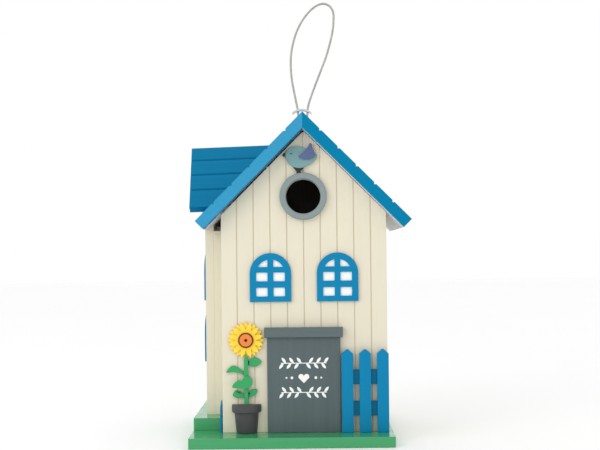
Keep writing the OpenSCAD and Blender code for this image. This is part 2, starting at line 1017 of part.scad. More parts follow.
// A small arched bar that both legs of the rope pass through
module loop_clamp() {
    color(aluminium)
        difference() {
            intersection() {
                translate([clamp_x, 0, clamp_z - clamp_r])
                    along_y(hanger_y - clamp_l / 2, hanger_y + clamp_l / 2)
                        difference() {
                            circle(clamp_r);
                            circle(clamp_r - clamp_t);
                        }
                block([clamp_x - clamp_half_w, hanger_y - clamp_l, clamp_z - clamp_half_w],
                    [clamp_x + clamp_half_w, hanger_y + clamp_l, clamp_z + 1]);
            }
            for (side = [-1, 1])
                translate([side * rope_pitch / 2, hanger_y, clamp_z - clamp_half_w])
                    rotate([0, side * 6, 0])
                        cylinder(r = rope_hole_r, h = 2 * clamp_half_w);
        }
}

// The rope's centre line, with rings closer together in the bends
function rope_line() = let (p = rope_route, n = len(p)) [
    for (i = [0 : n - 2], k = [0, 1])
        between(p[max(i - 1, 0)], p[i], p[i + 1], p[min(i + 2, n - 1)], k / 2),
    p[n - 1]
];

// A ring of points around place i of the line, square to the line there
function rope_ring(line, i) = let (
    n = len(line),
    d = line[min(i + 1, n - 1)] - line[max(i - 1, 0)],
    side = [d[1], -d[0]] / norm(d)
) [
    for (k = [0 : rope_sides - 1]) let (a = 360 * (k + 0.5) / rope_sides)
        [line[i][0] + side[0] * cos(a) * rope_d / 2,
            hanger_y + sin(a) * rope_d / 2,
            line[i][1] + side[1] * cos(a) * rope_d / 2]
];

module hanging_loop() {
    line = rope_line();
    n = len(line);
    points = [for (i = [0 : n - 1]) each rope_ring(line, i)];
    skin = [
        for (i = [0 : n - 2], k = [0 : rope_sides - 1]) let (m = (k + 1) % rope_sides)
            [i * rope_sides + k, i * rope_sides + m, (i + 1) * rope_sides + m,
                (i + 1) * rope_sides + k]
    ];
    first = [for (k = [rope_sides - 1 : -1 : 0]) k];
    last = [for (k = [0 : rope_sides - 1]) (n - 1) * rope_sides + k];
    color(steel) polyhedron(points, concat(skin, [first, last]));
}

// ---- Clean-out door ----

module clean_out_door() {
    color(cream)
        difference() {
            block([-hatch_w / 2 + hatch_gap, back_y - wall_t, hatch_z + hatch_gap],
                [hatch_w / 2 - hatch_gap, back_y, hatch_z + hatch_h - hatch_gap]);
            translate([0, back_y, 0])
                cladding_cuts(wall_grooves, hatch_z - eps, hatch_z + hatch_h + eps);
            hinge_door_screws();
        }
}

module clean_out_knob() {
    color(blue)
        translate([knob_x, back_y, button_z])
            rotate([-90, 0, 0])
                rotate_extrude()
                    polygon([
                        [0, 0],
                        [knob_r * 0.55, 0],
                        [knob_r * 0.5, knob_h * 0.35],
                        [knob_r * 0.9, knob_h * 0.55],
                        [knob_r, knob_h * 0.75],
                        [knob_r * 0.85, knob_h * 0.93],
                        [knob_r * 0.5, knob_h],
                        [0, knob_h]
                    ]);
}

// Heights of one hinge's three knuckles, from its middle

module knuckle(z0, z1, bore) {
    translate([hinge_x, hinge_y, z0])
        difference() {
            cylinder(r = knuckle_r, h = z1 - z0);
            translate([0, 0, -eps]) cylinder(r = bore, h = z1 - z0 + 2 * eps);
        }
}

// A leaf plate on the back face, towards side, with room for the other leaf's knuckles
module leaf_plate(side, z) {
    x0 = hinge_x;
    x1 = hinge_x + side * hinge_leaf_w;
    block([min(x0, x1), back_y, z - hinge_h / 2],
        [max(x0, x1), back_y + hinge_leaf_t, z + hinge_h / 2]);
}

module knuckle_room(z0, z1) {
    translate([hinge_x, hinge_y, z0]) cylinder(r = knuckle_r + 0.3, h = z1 - z0);
}

module hinge_frame_leaves() {
    color(brass)
        for (z = hinge_z) {
            difference() {
                leaf_plate(1, z);
                knuckle_room(z - knuckle_l / 2 - knuckle_gap, z + knuckle_l / 2 + knuckle_gap);
                translate([hinge_x, hinge_y, z - hinge_h])
                    cylinder(r = hinge_pin_r, h = 2 * hinge_h);
                hinge_frame_screws();
            }
            knuckle(z - hinge_h / 2, z - knuckle_l / 2 - knuckle_gap, hinge_pin_r);
            knuckle(z + knuckle_l / 2 + knuckle_gap, z + hinge_h / 2, hinge_pin_r);
        }
}

module hinge_door_leaves() {
    color(brass)
        for (z = hinge_z) {
            difference() {
                leaf_plate(-1, z);
                knuckle_room(z - hinge_h / 2 - eps, z - knuckle_l / 2);
                knuckle_room(z + knuckle_l / 2, z + hinge_h / 2 + eps);
                translate([hinge_x, hinge_y, z - hinge_h])
                    cylinder(r = hinge_pin_r + hinge_clearance, h = 2 * hinge_h);
                hinge_door_screws();
            }
            knuckle(z - knuckle_l / 2, z + knuckle_l / 2, hinge_pin_r + hinge_clearance);
        }
}

module hinge_pins() {
    color(brass)
        for (z = hinge_z)
            translate([hinge_x, hinge_y, z - hinge_h / 2]) {
                cylinder(r = hinge_pin_r, h = hinge_h);
                translate([0, 0, hinge_h]) cylinder(r = hinge_pin_r + 0.5, h = 0.8);
            }
}

// A small round-headed screw into the back face
module hinge_screw() {
    rotate([-90, 0, 0]) {
        translate([0, 0, hinge_leaf_t]) cylinder(r1 = 1.7, r2 = 1.1, h = 0.9);
        translate([0, 0, hinge_leaf_t - hinge_screw_l])
            cylinder(r = hinge_screw_r, h = hinge_screw_l);
    }
}

module hinge_screw_group(side) {
    for (z = hinge_z, dz = [-hinge_screw_dz, hinge_screw_dz])
        translate([hinge_x + side * hinge_screw_x, back_y, z + dz]) hinge_screw();
}

module hinge_frame_screws() {
    color(brass) hinge_screw_group(1);
}

module hinge_door_screws() {
    color(brass) hinge_screw_group(-1);
}

// The turn button stands upright, clear of the door, and turns level to hold it
module turn_button() {
    y0 = back_y + button_gap;
    reach = (button_l - button_w) / 2;
    color(blue)
        difference() {
            along_y(y0, y0 + button_t)
                translate([button_x, button_z]) {
                    square([button_w, 2 * reach], center = true);
                    for (side = [-1, 1]) translate([0, side * reach]) circle(button_w / 2);
                }
            translate([button_x, back_y, button_z])
                rotate([-90, 0, 0])
                    cylinder(r = button_screw_r + button_clearance, h = 2 * button_t);
        }
}

module turn_button_screw() {
    head_y = button_t + 2 * button_gap;
    color(brass)
        translate([button_x, back_y, button_z])
            rotate([-90, 0, 0]) {
                translate([0, 0, 1 - wall_t]) cylinder(r = button_screw_r, h = wall_t - 1 + head_y);
                translate([0, 0, head_y])
                    cylinder(r1 = button_screw_head_r, r2 = button_screw_head_r * 0.6, h = 1.6);
            }
}

base_board();
wing_base_board();
front_wall();
back_wall();
left_wall();
right_wall();
wing_gable_wall();
wing_front_filler();
wing_back_filler();
roof_panel_left();
roof_panel_right();
wing_roof_front();
wing_roof_back();
ridge_block();
entrance_ring();
front_window_left();
front_window_right();
for (i = [0 : 3]) wing_window(i);
window_backings();
door_panel();
door_lintel();
door_ornament();
for (i = [0 : 2]) fence_picket(i);
fence_rails();
side_fence_picket();
side_fence_rail();
flower_pot();
flower_stem();
flower_leaves();
flower_middle_leaf();
flower_petals_back();
flower_petals_front();
flower_disc();
flower_disc_ring();
flower_disc_centre();
bird_body();
bird_wing();
bird_beak();
bird_legs();
hanging_loop();
loop_clamp();
loop_ferrules();
loop_plate();
base_screws();
roof_nails();
clean_out_door();
clean_out_knob();
hinge_frame_leaves();
hinge_door_leaves();
hinge_pins();
hinge_frame_screws();
hinge_door_screws();
turn_button();
turn_button_screw();
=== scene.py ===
"""A painted wooden birdhouse: finishes, wire hanging loop, small painted details, studio.

Metres, in the frame of the CAD model: +Z up, the front looks along -Y, X = 0 below the main
ridge, and the base's underside on Z = 0.
"""
import math

import bpy
from mathutils import Matrix, Vector


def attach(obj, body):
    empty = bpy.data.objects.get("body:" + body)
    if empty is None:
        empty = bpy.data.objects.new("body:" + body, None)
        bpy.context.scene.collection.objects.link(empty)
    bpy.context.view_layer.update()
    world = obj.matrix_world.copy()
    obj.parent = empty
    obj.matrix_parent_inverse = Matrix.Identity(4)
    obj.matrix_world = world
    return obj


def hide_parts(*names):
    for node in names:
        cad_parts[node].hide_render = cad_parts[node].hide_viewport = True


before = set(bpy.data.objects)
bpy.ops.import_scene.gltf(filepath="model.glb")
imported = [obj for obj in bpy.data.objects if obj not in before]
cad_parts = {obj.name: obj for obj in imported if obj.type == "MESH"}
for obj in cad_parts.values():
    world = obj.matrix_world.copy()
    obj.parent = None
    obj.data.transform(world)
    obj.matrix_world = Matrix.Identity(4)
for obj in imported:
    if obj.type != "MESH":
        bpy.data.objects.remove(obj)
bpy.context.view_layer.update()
MM = 0.001


def colour(red, green, blue):
    """A colour given as screen values from 0 to 255, as the linear RGBA that a shader takes."""
    linear = []
    for value in (red, green, blue):
        share = value / 255
        linear.append(share / 12.92 if share <= 0.04045 else ((share + 0.055) / 1.055) ** 2.4)
    return (*linear, 1.0)


# ---- Camera ----

CAMERA_PLACE = (6.7 * MM, -1036 * MM, 173 * MM)
CAMERA_ROLL = math.radians(-0.6)
VIEW_WIDTH_PER_DISTANCE = 0.57253
SENSOR = 36
FRAME_SHIFT_X = -0.018333
FRAME_SHIFT_Y = 0.05
CLIP_NEAR = 0.05
CLIP_FAR = 30


def make_camera():
    """A level camera in front of the house, with a little shift to frame it."""
    data = bpy.data.cameras.new("camera")
    data.sensor_width = SENSOR
    data.lens = SENSOR / VIEW_WIDTH_PER_DISTANCE
    data.shift_x = FRAME_SHIFT_X
    data.shift_y = FRAME_SHIFT_Y
    data.clip_start = CLIP_NEAR
    data.clip_end = CLIP_FAR
    camera = bpy.data.objects.new("camera", data)
    camera.matrix_world = (
        Matrix.Translation(CAMERA_PLACE)
        @ Matrix.Rotation(math.radians(90), 4, "X")
        @ Matrix.Rotation(CAMERA_ROLL, 4, "Z")
    )
    bpy.context.scene.collection.objects.link(camera)
    bpy.context.scene.camera = camera


make_camera()

# ---- Hanging loop ----

ROPE_Y = 5
ROPE_END_Z = 273.151
ROPE_D = 2.2
ROPE_ROUTE = [
    (-4.4, ROPE_END_Z), (-4.4, 278), (-4.4, 286), (-4.4, 294), (-4.4, 302), (-4.4, 309),
    (-4.8, 316), (-6.4, 325), (-8.6, 336), (-10.6, 348), (-11.4, 360), (-11, 372),
    (-8.8, 384), (-4.8, 396), (1, 406.6), (8, 415.2), (15, 420.6), (21.8, 422.4),
    (27.6, 420), (31.2, 413.8), (31.4, 404), (30.2, 394), (27.4, 382), (23.8, 370),
    (19.2, 358), (14.4, 346), (9.8, 334), (6, 323), (4.6, 315), (4.4, 308),
    (4.4, 301), (4.4, 294), (4.4, 286), (4.4, 278), (4.4, ROPE_END_Z),
]
ROPE_STEP = 0.8
ROPE_STRANDS = 7
ROPE_LAY = 16
SIDES_PER_STRAND = 6


def catmull_rom(a, b, c, d, t):
    """The point at share t of the way from b to c, on a smooth curve through a, b, c and d."""
    return 0.5 * (
        2 * b + (c - a) * t
        + (2 * a - 5 * b + 4 * c - d) * t * t
        + (3 * b - a - 3 * c + d) * t * t * t
    )


def smooth_line(points, step):
    """Points about step apart on a smooth curve through the given points."""
    line = []
    last = len(points) - 1
    for i in range(last):
        before, after = points[max(i - 1, 0)], points[min(i + 2, last)]
        count = max(2, round((points[i + 1] - points[i]).length / step))
        for k in range(count):
            line.append(catmull_rom(before, points[i], points[i + 1], after, k / count))
    line.append(points[-1])
    return line


def tangents(line):
    """The direction of travel at each point of a line."""
    last = len(line) - 1
    return [(line[min(i + 1, last)] - line[max(i - 1, 0)]).normalized() for i in range(last + 1)]


def strand_section(strands, sides, outer):
    """(angle, radius) round a section of touching strands that fit in a circle of radius outer."""
    half = math.pi / strands
    centre = outer / (1 + math.sin(half))
    strand_r = outer - centre
    section = []
    for k in range(strands * sides):
        turn = math.tau * k / (strands * sides)
        off = (turn + half) % (2 * half) - half
        reach = max(strand_r ** 2 - (centre * math.sin(off)) ** 2, 0)
        section.append((turn, centre * math.cos(off) + math.sqrt(reach)))
    return section


def tube_faces(rings, sides):
    """The faces of a closed tube whose rings of vertices follow each other."""
    faces = []
    for ring in range(0, (rings - 1) * sides, sides):
        for k in range(sides):
            following = (k + 1) % sides
            faces.append((ring + k, ring + following, ring + sides + following, ring + sides + k))
    last = (rings - 1) * sides
    faces.append(tuple(reversed(range(sides))))
    faces.append(tuple(range(last, last + sides)))
    return faces


def house_piece(name, verts, faces):
    """A smooth mesh object in the CAD frame that rides on the house."""
    mesh = bpy.data.meshes.new(name)
    mesh.from_pydata([tuple(v) for v in verts], [], faces)
    mesh.update()
    mesh.shade_smooth()
    piece = bpy.data.objects.new(name, mesh)
    bpy.context.scene.collection.objects.link(piece)
    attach(piece, "house")
    return piece


def make_rope():
    """A wire rope of laid strands, in place of the plain CAD tube."""
    route = [Vector((x * MM, ROPE_Y * MM, z * MM)) for x, z in ROPE_ROUTE]
    line = smooth_line(route, ROPE_STEP * MM)
    section = strand_section(ROPE_STRANDS, SIDES_PER_STRAND, ROPE_D / 2 * MM)
    depth = Vector((0, 1, 0))
    travelled = 0.0
    verts = []
    for i, (point, along) in enumerate(zip(line, tangents(line))):
        if i:
            travelled += (point - line[i - 1]).length
        twist = math.tau * travelled / (ROPE_LAY * MM)
        side = depth.cross(along).normalized()
        for turn, radius in section:
            out = side * math.cos(turn + twist) + depth * math.sin(turn + twist)
            verts.append(point + out * radius)
    faces = tube_faces(len(line), len(section))
    made = house_piece("wire_rope_loop", verts, faces)
    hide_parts("hanging_loop")
    return made


rope = make_rope()

# ---- Shader tools ----


class Shader:
    """A material's node tree, with short calls for the nodes that these finishes use."""

    def __init__(self, name):
        self.material = bpy.data.materials.new(name)
        self.material.use_nodes = True
        self.nodes = self.material.node_tree.nodes
        self.links = self.material.node_tree.links
        self.surface = self.nodes["Principled BSDF"]
        place = self.nodes.new("ShaderNodeTexCoord")
        self.place = place.outputs["Object"]
        self.facing = place.outputs["Normal"]

    def node(self, kind, inputs, **settings):
        """A new node, with its settings, and its inputs linked or set."""
        made = self.nodes.new("ShaderNode" + kind)
        for name, value in settings.items():
            setattr(made, name, value)
        for socket, value in inputs.items():
            self.put(value, made.inputs[socket])
        return made

    def put(self, value, socket):
        """Links or sets one socket."""
        if isinstance(value, bpy.types.NodeSocket):
            self.links.new(value, socket)
        else:
            socket.default_value = value

    def scaled(self, scale, shift=(0, 0, 0)):
        """The place on the object, stretched by scale per metre."""
        made = self.node("Mapping", {"Vector": self.place, "Scale": scale, "Location": shift})
        return made.outputs["Vector"]

    def noise(self, vector, scale=1.0, detail=3.0, roughness=0.5, distortion=0.0):
        made = self.node("TexNoise", {
            "Vector": vector, "Scale": scale, "Detail": detail,
            "Roughness": roughness, "Distortion": distortion,
        })
        return made.outputs["Fac"]

    def axis(self, vector, index):
        """One coordinate of a vector."""
        return self.node("SeparateXYZ", {0: vector}).outputs[index]

    def sum(self, kind, a, b=0.0, clamp=False):
        """A Math node of one kind, such as ADD or MULTIPLY."""
        return self.node("Math", {0: a, 1: b}, operation=kind, use_clamp=clamp).outputs[0]

    def between(self, value, low, high, to_low=0.0, to_high=1.0):
        """The value, with low to high spread over to_low to to_high, and held there outside."""
        made = self.node("MapRange", {
            "Value": value, "From Min": low, "From Max": high,
            "To Min": to_low, "To Max": to_high,
        })
        return made.outputs["Result"]

    def mix(self, share, a, b, how="MIX"):
        """Colour a with a share of colour b."""
        made = self.node("Mix", {0: share, 6: a, 7: b}, data_type="RGBA", blend_type=how)
        return made.outputs[2]

    def square_on(self, index):
        """How squarely a face looks along an axis, either way, from 0 to 1."""
        made = self.node("Math", {0: self.axis(self.facing, index)}, operation="ABSOLUTE")
        return made.outputs[0]

    def bump(self, height, depth, normal):
        """The normal, disturbed by a height that is depth millimetres at most."""
        made = self.node("Bump", {
            "Height": height, "Distance": depth * MM, "Strength": 1.0, "Normal": normal,
        })
        return made.outputs["Normal"]

    def spot(self, x, z, half_w, half_h, turn=0):
        """1 inside an ellipse on the front, in millimetres and degrees, and 0 outside it."""
        made = self.node("Mapping", {
            "Vector": self.place, "Location": (x * MM, 0, z * MM),
            "Rotation": (0, math.radians(turn), 0), "Scale": (half_w * MM, 1, half_h * MM),
        }, vector_type="TEXTURE")
        reach = self.node("VectorMath", {0: made.outputs["Vector"]}, operation="LENGTH")
        return self.between(reach.outputs["Value"], 1.15, 0.85)

    def finish(self, **inputs):
        """Links or sets the Principled shader's own sockets and gives the material."""
        for name, value in inputs.items():
            self.put(value, self.surface.inputs[name.replace("_", " ")])
        return self.material


def tinted(shade, factor):
    """The colour made lighter or darker by a factor."""
    return (*[min(1.0, c * factor) for c in shade[:3]], 1.0)


GRAIN_SCALE = {"x": (16, 420, 420), "y": (420, 16, 420), "z": (420, 420, 16)}
EDGE_R = 0.7 * MM
CORNER_REACH = 1.7 * MM
GROOVE_SHADE_DEPTH = 0.5
NOISE_SPREAD = (0.3, 0.7)
# How squarely a face looks along an axis, where its side or its cut end begins
TURN_TO_SIDE = (0.3, 0.8)
TURN_TO_END = (0.6, 0.9)
# Depths of the grain and the brushing, in millimetres
PAINT_RELIEF = 0.035
SAWN_RELIEF = 0.08
ROOF_RELIEF = 0.04
PETAL_RELIEF = 0.03
METAL_RELIEF = 0.01
PAINT_IOR = 1.47
ROOF_GLOSS = 0.06
METAL_EDGE_R = 0.25 * MM
METAL_CORNER_REACH = 1.2 * MM
PETAL_EDGE_R = 0.35 * MM


def softened(shader, radius=EDGE_R):
    """(a normal rounded over the edges, how near each point is to an edge, from 0 to 1)."""
    rounded = shader.node("Bevel", {"Radius": radius}, samples=6).outputs["Normal"]
    flat = shader.node("NewGeometry", {}).outputs["Normal"]
    alike = shader.node("VectorMath", {0: rounded, 1: flat}, operation="DOT_PRODUCT")
    return rounded, shader.between(alike.outputs["Value"], 0.985, 0.80)


def cavity(shader, reach=CORNER_REACH):
    """How deep in a corner or recess each point lies, from 0 to 1, by ambient occlusion: the mask that
    paints shade into corners and grooves.
    """
    made = shader.node("AmbientOcclusion", {"Distance": reach}, samples=6, only_local=True)
    return shader.between(made.outputs["AO"], 0.95, 0.45)


def wood_grain(shader, along):
    """(fine fibres, broad figure) that run along an axis, each from 0 to 1."""
    fine = shader.noise(shader.scaled(GRAIN_SCALE[along]), 1.0, 5.0, 0.62)
    broad_scale = tuple(s * 0.22 for s in GRAIN_SCALE[along])
    broad = shader.noise(shader.scaled(broad_scale, (3.1, 1.7, 5.3)), 1.0, 3.0, 0.55, 1.4)
    return shader.between(fine, 0.32, 0.68), shader.between(broad, *NOISE_SPREAD)


def painted(
    name, shade, along="z", roughness=0.42, grain=0.05, groove=None, edge=1.10,
    coat=0.0, inside=None, sides=None, gloss=0.5, marks=(), mark_shade=None,
):
    """Brushed paint over wood: the grain shows through it, and it thins on the edges.

    groove is the colour that the cavity mask lays into corners and grooves, which paints shade there
    (on the cream boards it is also their brownish groove paint), edge the factor that the edges lighten
    by, inside a mask for the faces within, which get bare wood darkened as painted shade, sides the
    factor that a sawn outline darkens by, gloss the strength of its shine, and marks the ellipses that
    are painted on it, which on the leaves are painted shadow.
    """
    shader = Shader(name)
    fine, broad = wood_grain(shader, along)
    rounded, worn = softened(shader)
    mottle = shader.noise(shader.place, 38.0, 3.0, 0.5)
    low, high = tinted(shade, 1 - grain), tinted(shade, 1 + grain * 0.7)
    tone = shader.mix(shader.sum("ADD", shader.sum("MULTIPLY", fine, 0.45),
                                 shader.sum("MULTIPLY", broad, 0.55)), low, high)
    uneven = shader.between(mottle, *NOISE_SPREAD, 0.0, 0.5)
    tone = shader.mix(uneven, tone, tinted(shade, 1 - grain * 0.8))
    # Painted shade: the groove colour is laid into corners and grooves by the cavity mask
    if groove:
        tone = shader.mix(shader.sum("MULTIPLY", cavity(shader), GROOVE_SHADE_DEPTH), tone, groove)
    if sides:
        upright = shader.between(shader.square_on(1), *TURN_TO_SIDE)
        tone = shader.mix(upright, tinted(shade, sides), tone)
    thin = shader.sum("MULTIPLY", worn, shader.between(fine, 0.0, 1.0, 0.35, 0.8))
    tone = shader.mix(thin, tone, tinted(shade, edge))
    # Painted shade: the faces within the house get bare wood, darkened
    if inside:
        tone = shader.mix(inside(shader), tone, bare_wood(shader, along, CHAMBER_SHADE_DARK, CHAMBER_SHADE_LIGHT))
    for mark in marks:
        tone = shader.mix(shader.spot(*mark), tone, mark_shade)
    rough = shader.between(shader.noise(shader.place, 90.0, 2.0), *NOISE_SPREAD,
                           roughness - 0.05, roughness + 0.06)
    height = shader.sum("ADD", shader.sum("MULTIPLY", fine, 0.6),
                        shader.sum("MULTIPLY", shader.noise(shader.place, 700.0, 2.0), 0.4))
    return shader.finish(
        Base_Color=tone, Roughness=rough, Normal=shader.bump(height, PAINT_RELIEF, rounded),
        Coat_Weight=coat, Coat_Roughness=0.12, IOR=PAINT_IOR, Specular_IOR_Level=gloss,
    )


PINE_LIGHT = colour(214, 182, 138)
PINE_DARK = colour(176, 136, 92)
# Bare wood darkened as painted shade for the inside of the house
CHAMBER_SHADE_LIGHT = colour(96, 78, 56)
CHAMBER_SHADE_DARK = colour(70, 54, 38)
SOFFIT = colour(214, 218, 226)


def bare_wood(shader, along, dark=PINE_DARK, light=PINE_LIGHT):
    """The colour of unpainted pine."""
    fine, broad = wood_grain(shader, along)
    ripple = shader.sum("ADD", shader.sum("MULTIPLY", fine, 0.5), shader.sum("MULTIPLY", broad, 0.5))
    return shader.mix(ripple, dark, light)


CHAMBER_HALF_W = 69.2
CHAMBER_LOW = (-CHAMBER_HALF_W, -59.2, 9.9)
CHAMBER_HIGH = (CHAMBER_HALF_W, 71.2, 300)


def in_chamber(shader):
    """1 on the faces of the walls that look into the house, and 0 elsewhere."""
    mask = None
    for index in range(3):
        value = shader.axis(shader.place, index)
        above = shader.sum("GREATER_THAN", value, CHAMBER_LOW[index] * MM)
        below = shader.sum("LESS_THAN", value, CHAMBER_HIGH[index] * MM)
        both = shader.sum("MULTIPLY", above, below)
        mask = both if mask is None else shader.sum("MULTIPLY", mask, both)
    return mask


def raw_pine(name, along):
    """Unpainted sawn pine."""
    shader = Shader(name)
    fine, _ = wood_grain(shader, along)
    rounded, _ = softened(shader)
    return shader.finish(
        Base_Color=bare_wood(shader, along), Roughness=0.78,
        Normal=shader.bump(fine, SAWN_RELIEF, rounded),
    )


def under_roof(shader, side_axis, ridge_at):
    """1 on the underside of a roof's slopes, and 0 on its top and on its square-cut edges."""
    outward = shader.sum("SUBTRACT", shader.axis(shader.place, side_axis), ridge_at)
    leaning = shader.sum("MULTIPLY", outward, shader.axis(shader.facing, side_axis))
    inward = shader.sum("LESS_THAN", leaning, 0.0)
    down = shader.sum("LESS_THAN", shader.axis(shader.facing, 2), -0.5)
    return shader.sum("MULTIPLY", inward, down)


def roof_paint(name, shade, end_colour_and_light, along, side_axis, ridge_at, soffit_from=None):
    """Blue paint on a roof board, with a given colour on the cut end faces, which on the main roof
    paints a highlight on the left panel and shade on the right one, and a pale underside.

    soffit_from is the Y at which the pale underside begins, if it doesn't reach the front.
    """
    shader = Shader(name)
    fine, broad = wood_grain(shader, along)
    rounded, worn = softened(shader)
    tone = shader.mix(shader.between(broad, 0, 1, 0.15, 0.85), tinted(shade, 0.93), tinted(shade, 1.05))
    # Painted shade: darker in the grooves and corners, by the cavity mask
    tone = shader.mix(shader.sum("MULTIPLY", cavity(shader), 0.75), tone, tinted(shade, 0.42))
    tone = shader.mix(shader.sum("MULTIPLY", worn, 0.5), tone, tinted(shade, 1.35))
    # The cut end faces take their own colour, which on the main roof's panels is a painted highlight
    # (left) and painted shade (right)
    is_end = shader.between(shader.square_on(1 - side_axis), *TURN_TO_END)
    tone = shader.mix(is_end, tone, shader.mix(fine, tinted(end_colour_and_light, 0.95), tinted(end_colour_and_light, 1.04)))
    under = under_roof(shader, side_axis, ridge_at)
    if soffit_from is not None:
        behind = shader.sum("GREATER_THAN", shader.axis(shader.place, 1), soffit_from * MM)
        under = shader.sum("MULTIPLY", under, behind)
    primer = shader.mix(fine, tinted(SOFFIT, 0.93), SOFFIT)
    tone = shader.mix(under, tone, primer)
    rough = shader.between(under, 0, 1, 0.36, 0.62)
    return shader.finish(
        Base_Color=tone, Roughness=rough, Normal=shader.bump(fine, ROOF_RELIEF, rounded),
        IOR=PAINT_IOR, Specular_IOR_Level=ROOF_GLOSS,
    )


def petal_paint(name, centre, inner, outer, reach):
    """Yellow that deepens towards the flower's middle, with darker sawn edges."""
    shader = Shader(name)
    fine, _ = wood_grain(shader, "z")
    rounded, _ = softened(shader, PETAL_EDGE_R)
    away = shader.node("VectorMath", {0: shader.place, 1: centre}, operation="DISTANCE")
    share = shader.between(away.outputs["Value"], reach[0] * MM, reach[1] * MM)
    tone = shader.mix(share, inner, outer)
    tone = shader.mix(shader.sum("MULTIPLY", fine, 0.12), tone, tinted(inner, 0.8))
    upright = shader.between(shader.square_on(1), *TURN_TO_SIDE)
    tone = shader.mix(upright, tinted(inner, 0.84), tone)
    return shader.finish(
        Base_Color=tone, Roughness=0.45, Normal=shader.bump(fine, PETAL_RELIEF, rounded),
    )


def metal(name, shade, roughness, brushed=(500, 500, 500), wear=0.12):
    """Metal with fine brushing, uneven polish, and painted shade that darkens its corners and recesses.
    """
    shader = Shader(name)
    scratch = shader.noise(shader.scaled(brushed), 1.0, 4.0, 0.6)
    cloud = shader.noise(shader.place, 160.0, 3.0)
    dull, bright = tinted(shade, 1 - wear), tinted(shade, 1 + wear / 2)
    tone = shader.mix(shader.between(cloud, *NOISE_SPREAD), dull, bright)
    # Painted shade: darker in corners and recesses, by the cavity mask
    corners = shader.sum("MULTIPLY", cavity(shader, METAL_CORNER_REACH), 0.5)
    tone = shader.mix(corners, tone, tinted(shade, 0.4))
    rough = shader.between(scratch, 0.25, 0.75, roughness - 0.08, roughness + 0.12)
    rounded = shader.node("Bevel", {"Radius": METAL_EDGE_R}, samples=6).outputs["Normal"]
    return shader.finish(
        Base_Color=tone, Metallic=1.0, Roughness=rough,
        Normal=shader.bump(scratch, METAL_RELIEF, rounded),
    )


# ---- Finishes ----

CREAM = colour(227, 220, 198)
# Brownish paint in the wall grooves, laid on by the cavity mask, so it also paints the shade in them
CREAM_GROOVE_AND_SHADE = colour(190, 168, 132)
ROOF_BLUE = colour(0, 118, 160)
# The main roof's cut end faces: lighter on the left panel and darker on the right one, a painted
# highlight and painted shade as if lit from the left
ROOF_END_LIT = colour(56, 150, 192)
ROOF_END_SHADED = colour(0, 124, 166)
WING_END = colour(0, 118, 160)
TRIM_BLUE = colour(0, 130, 177)
RAIL_BLUE = colour(8, 118, 154)
GREEN = colour(60, 160, 100)
SLATE = colour(92, 106, 108)
RING_GREY = colour(132, 146, 146)
CHARCOAL = colour(68, 68, 70)
WHITE = colour(246, 248, 246)
LEAF = colour(54, 166, 99)
BIRD_BLUE = colour(121, 163, 165)
BIRD_PURPLE = colour(92, 104, 148)
NEAR_BLACK = colour(30, 28, 26)
ORANGE = colour(240, 132, 56)
BROWN = colour(84, 42, 16)
WING_Y = 21
GABLE_Y = -66

# Painted marks: X and Z of the middle, half width, half height, and turn in degrees
BIRD_EYE = (-10.6, 266.6, 1.5, 0.45, 8)
# The leaf marks are painted shadow: near black in the slit between the stem and a leaf and at the
# joints of the leaves
LEAF_SHADOW_MARKS = [(-51.9, 74.8, 0.5, 2.6, 0), (-51.6, 45.6, 0.9, 0.9, 0), (-61.4, 46.8, 2.4, 0.5, 28)]

finished = set()


def give(material, *nodes):
    """Puts a material on CAD nodes."""
    for name in nodes:
        for material_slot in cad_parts[name].material_slots:
            material_slot.material = material
        finished.add(name)


give(painted("cream_boards", CREAM, "z", 0.46, 0.025, CREAM_GROOVE_AND_SHADE, 1.03, inside=in_chamber),
     "front_wall", "back_wall", "left_wall", "right_wall", "wing_gable_wall",
     "wing_front_filler", "wing_back_filler", "clean_out_door")
give(roof_paint("roof_blue_left", ROOF_BLUE, ROOF_END_LIT, "y", 0, 0.0, GABLE_Y),
     "roof_panel_left")
give(roof_paint("roof_blue_right", ROOF_BLUE, ROOF_END_SHADED, "y", 0, 0.0), "roof_panel_right")
give(roof_paint("roof_blue_wing", ROOF_BLUE, WING_END, "x", 1, WING_Y * MM),
     "wing_roof_front", "wing_roof_back")
give(painted("trim_blue", TRIM_BLUE, "z", 0.38, 0.07, tinted(TRIM_BLUE, 0.5), 1.2, gloss=0.15),
     "front_window_left", "front_window_right",
     "wing_window_1", "wing_window_2", "wing_window_3", "wing_window_4",
     "fence_picket_1", "fence_picket_2", "fence_picket_3", "side_fence_picket")
give(painted("rail_blue", RAIL_BLUE, "x", 0.42, 0.08, tinted(RAIL_BLUE, 0.5), 1.2, gloss=0.15),
     "fence_rails", "side_fence_rail")
give(painted("base_green", GREEN, "x", 0.20, 0.06, tinted(GREEN, 0.5), 1.15, coat=0.25),
     "base_board", "wing_base_board")
give(painted("door_slate", tinted(SLATE, 0.92), "z", 0.44, 0.12, tinted(SLATE, 0.5), 1.15, gloss=0.3),
     "door_panel")
give(painted("lintel_slate", SLATE, "x", 0.42, 0.10, tinted(SLATE, 0.5), 1.22, gloss=0.35),
     "door_lintel")
give(painted("ring_grey", RING_GREY, "x", 0.40, 0.05, tinted(RING_GREY, 0.6), 1.12),
     "entrance_ring")
give(painted("pot_charcoal", CHARCOAL, "z", 0.48, 0.12, tinted(CHARCOAL, 0.5), 1.3),
     "flower_pot")
give(painted("pane_white", WHITE, "z", 0.5, 0.015), "window_backings")
give(painted("ornament_white", WHITE, "z", 0.5, 0.03), "door_ornament")
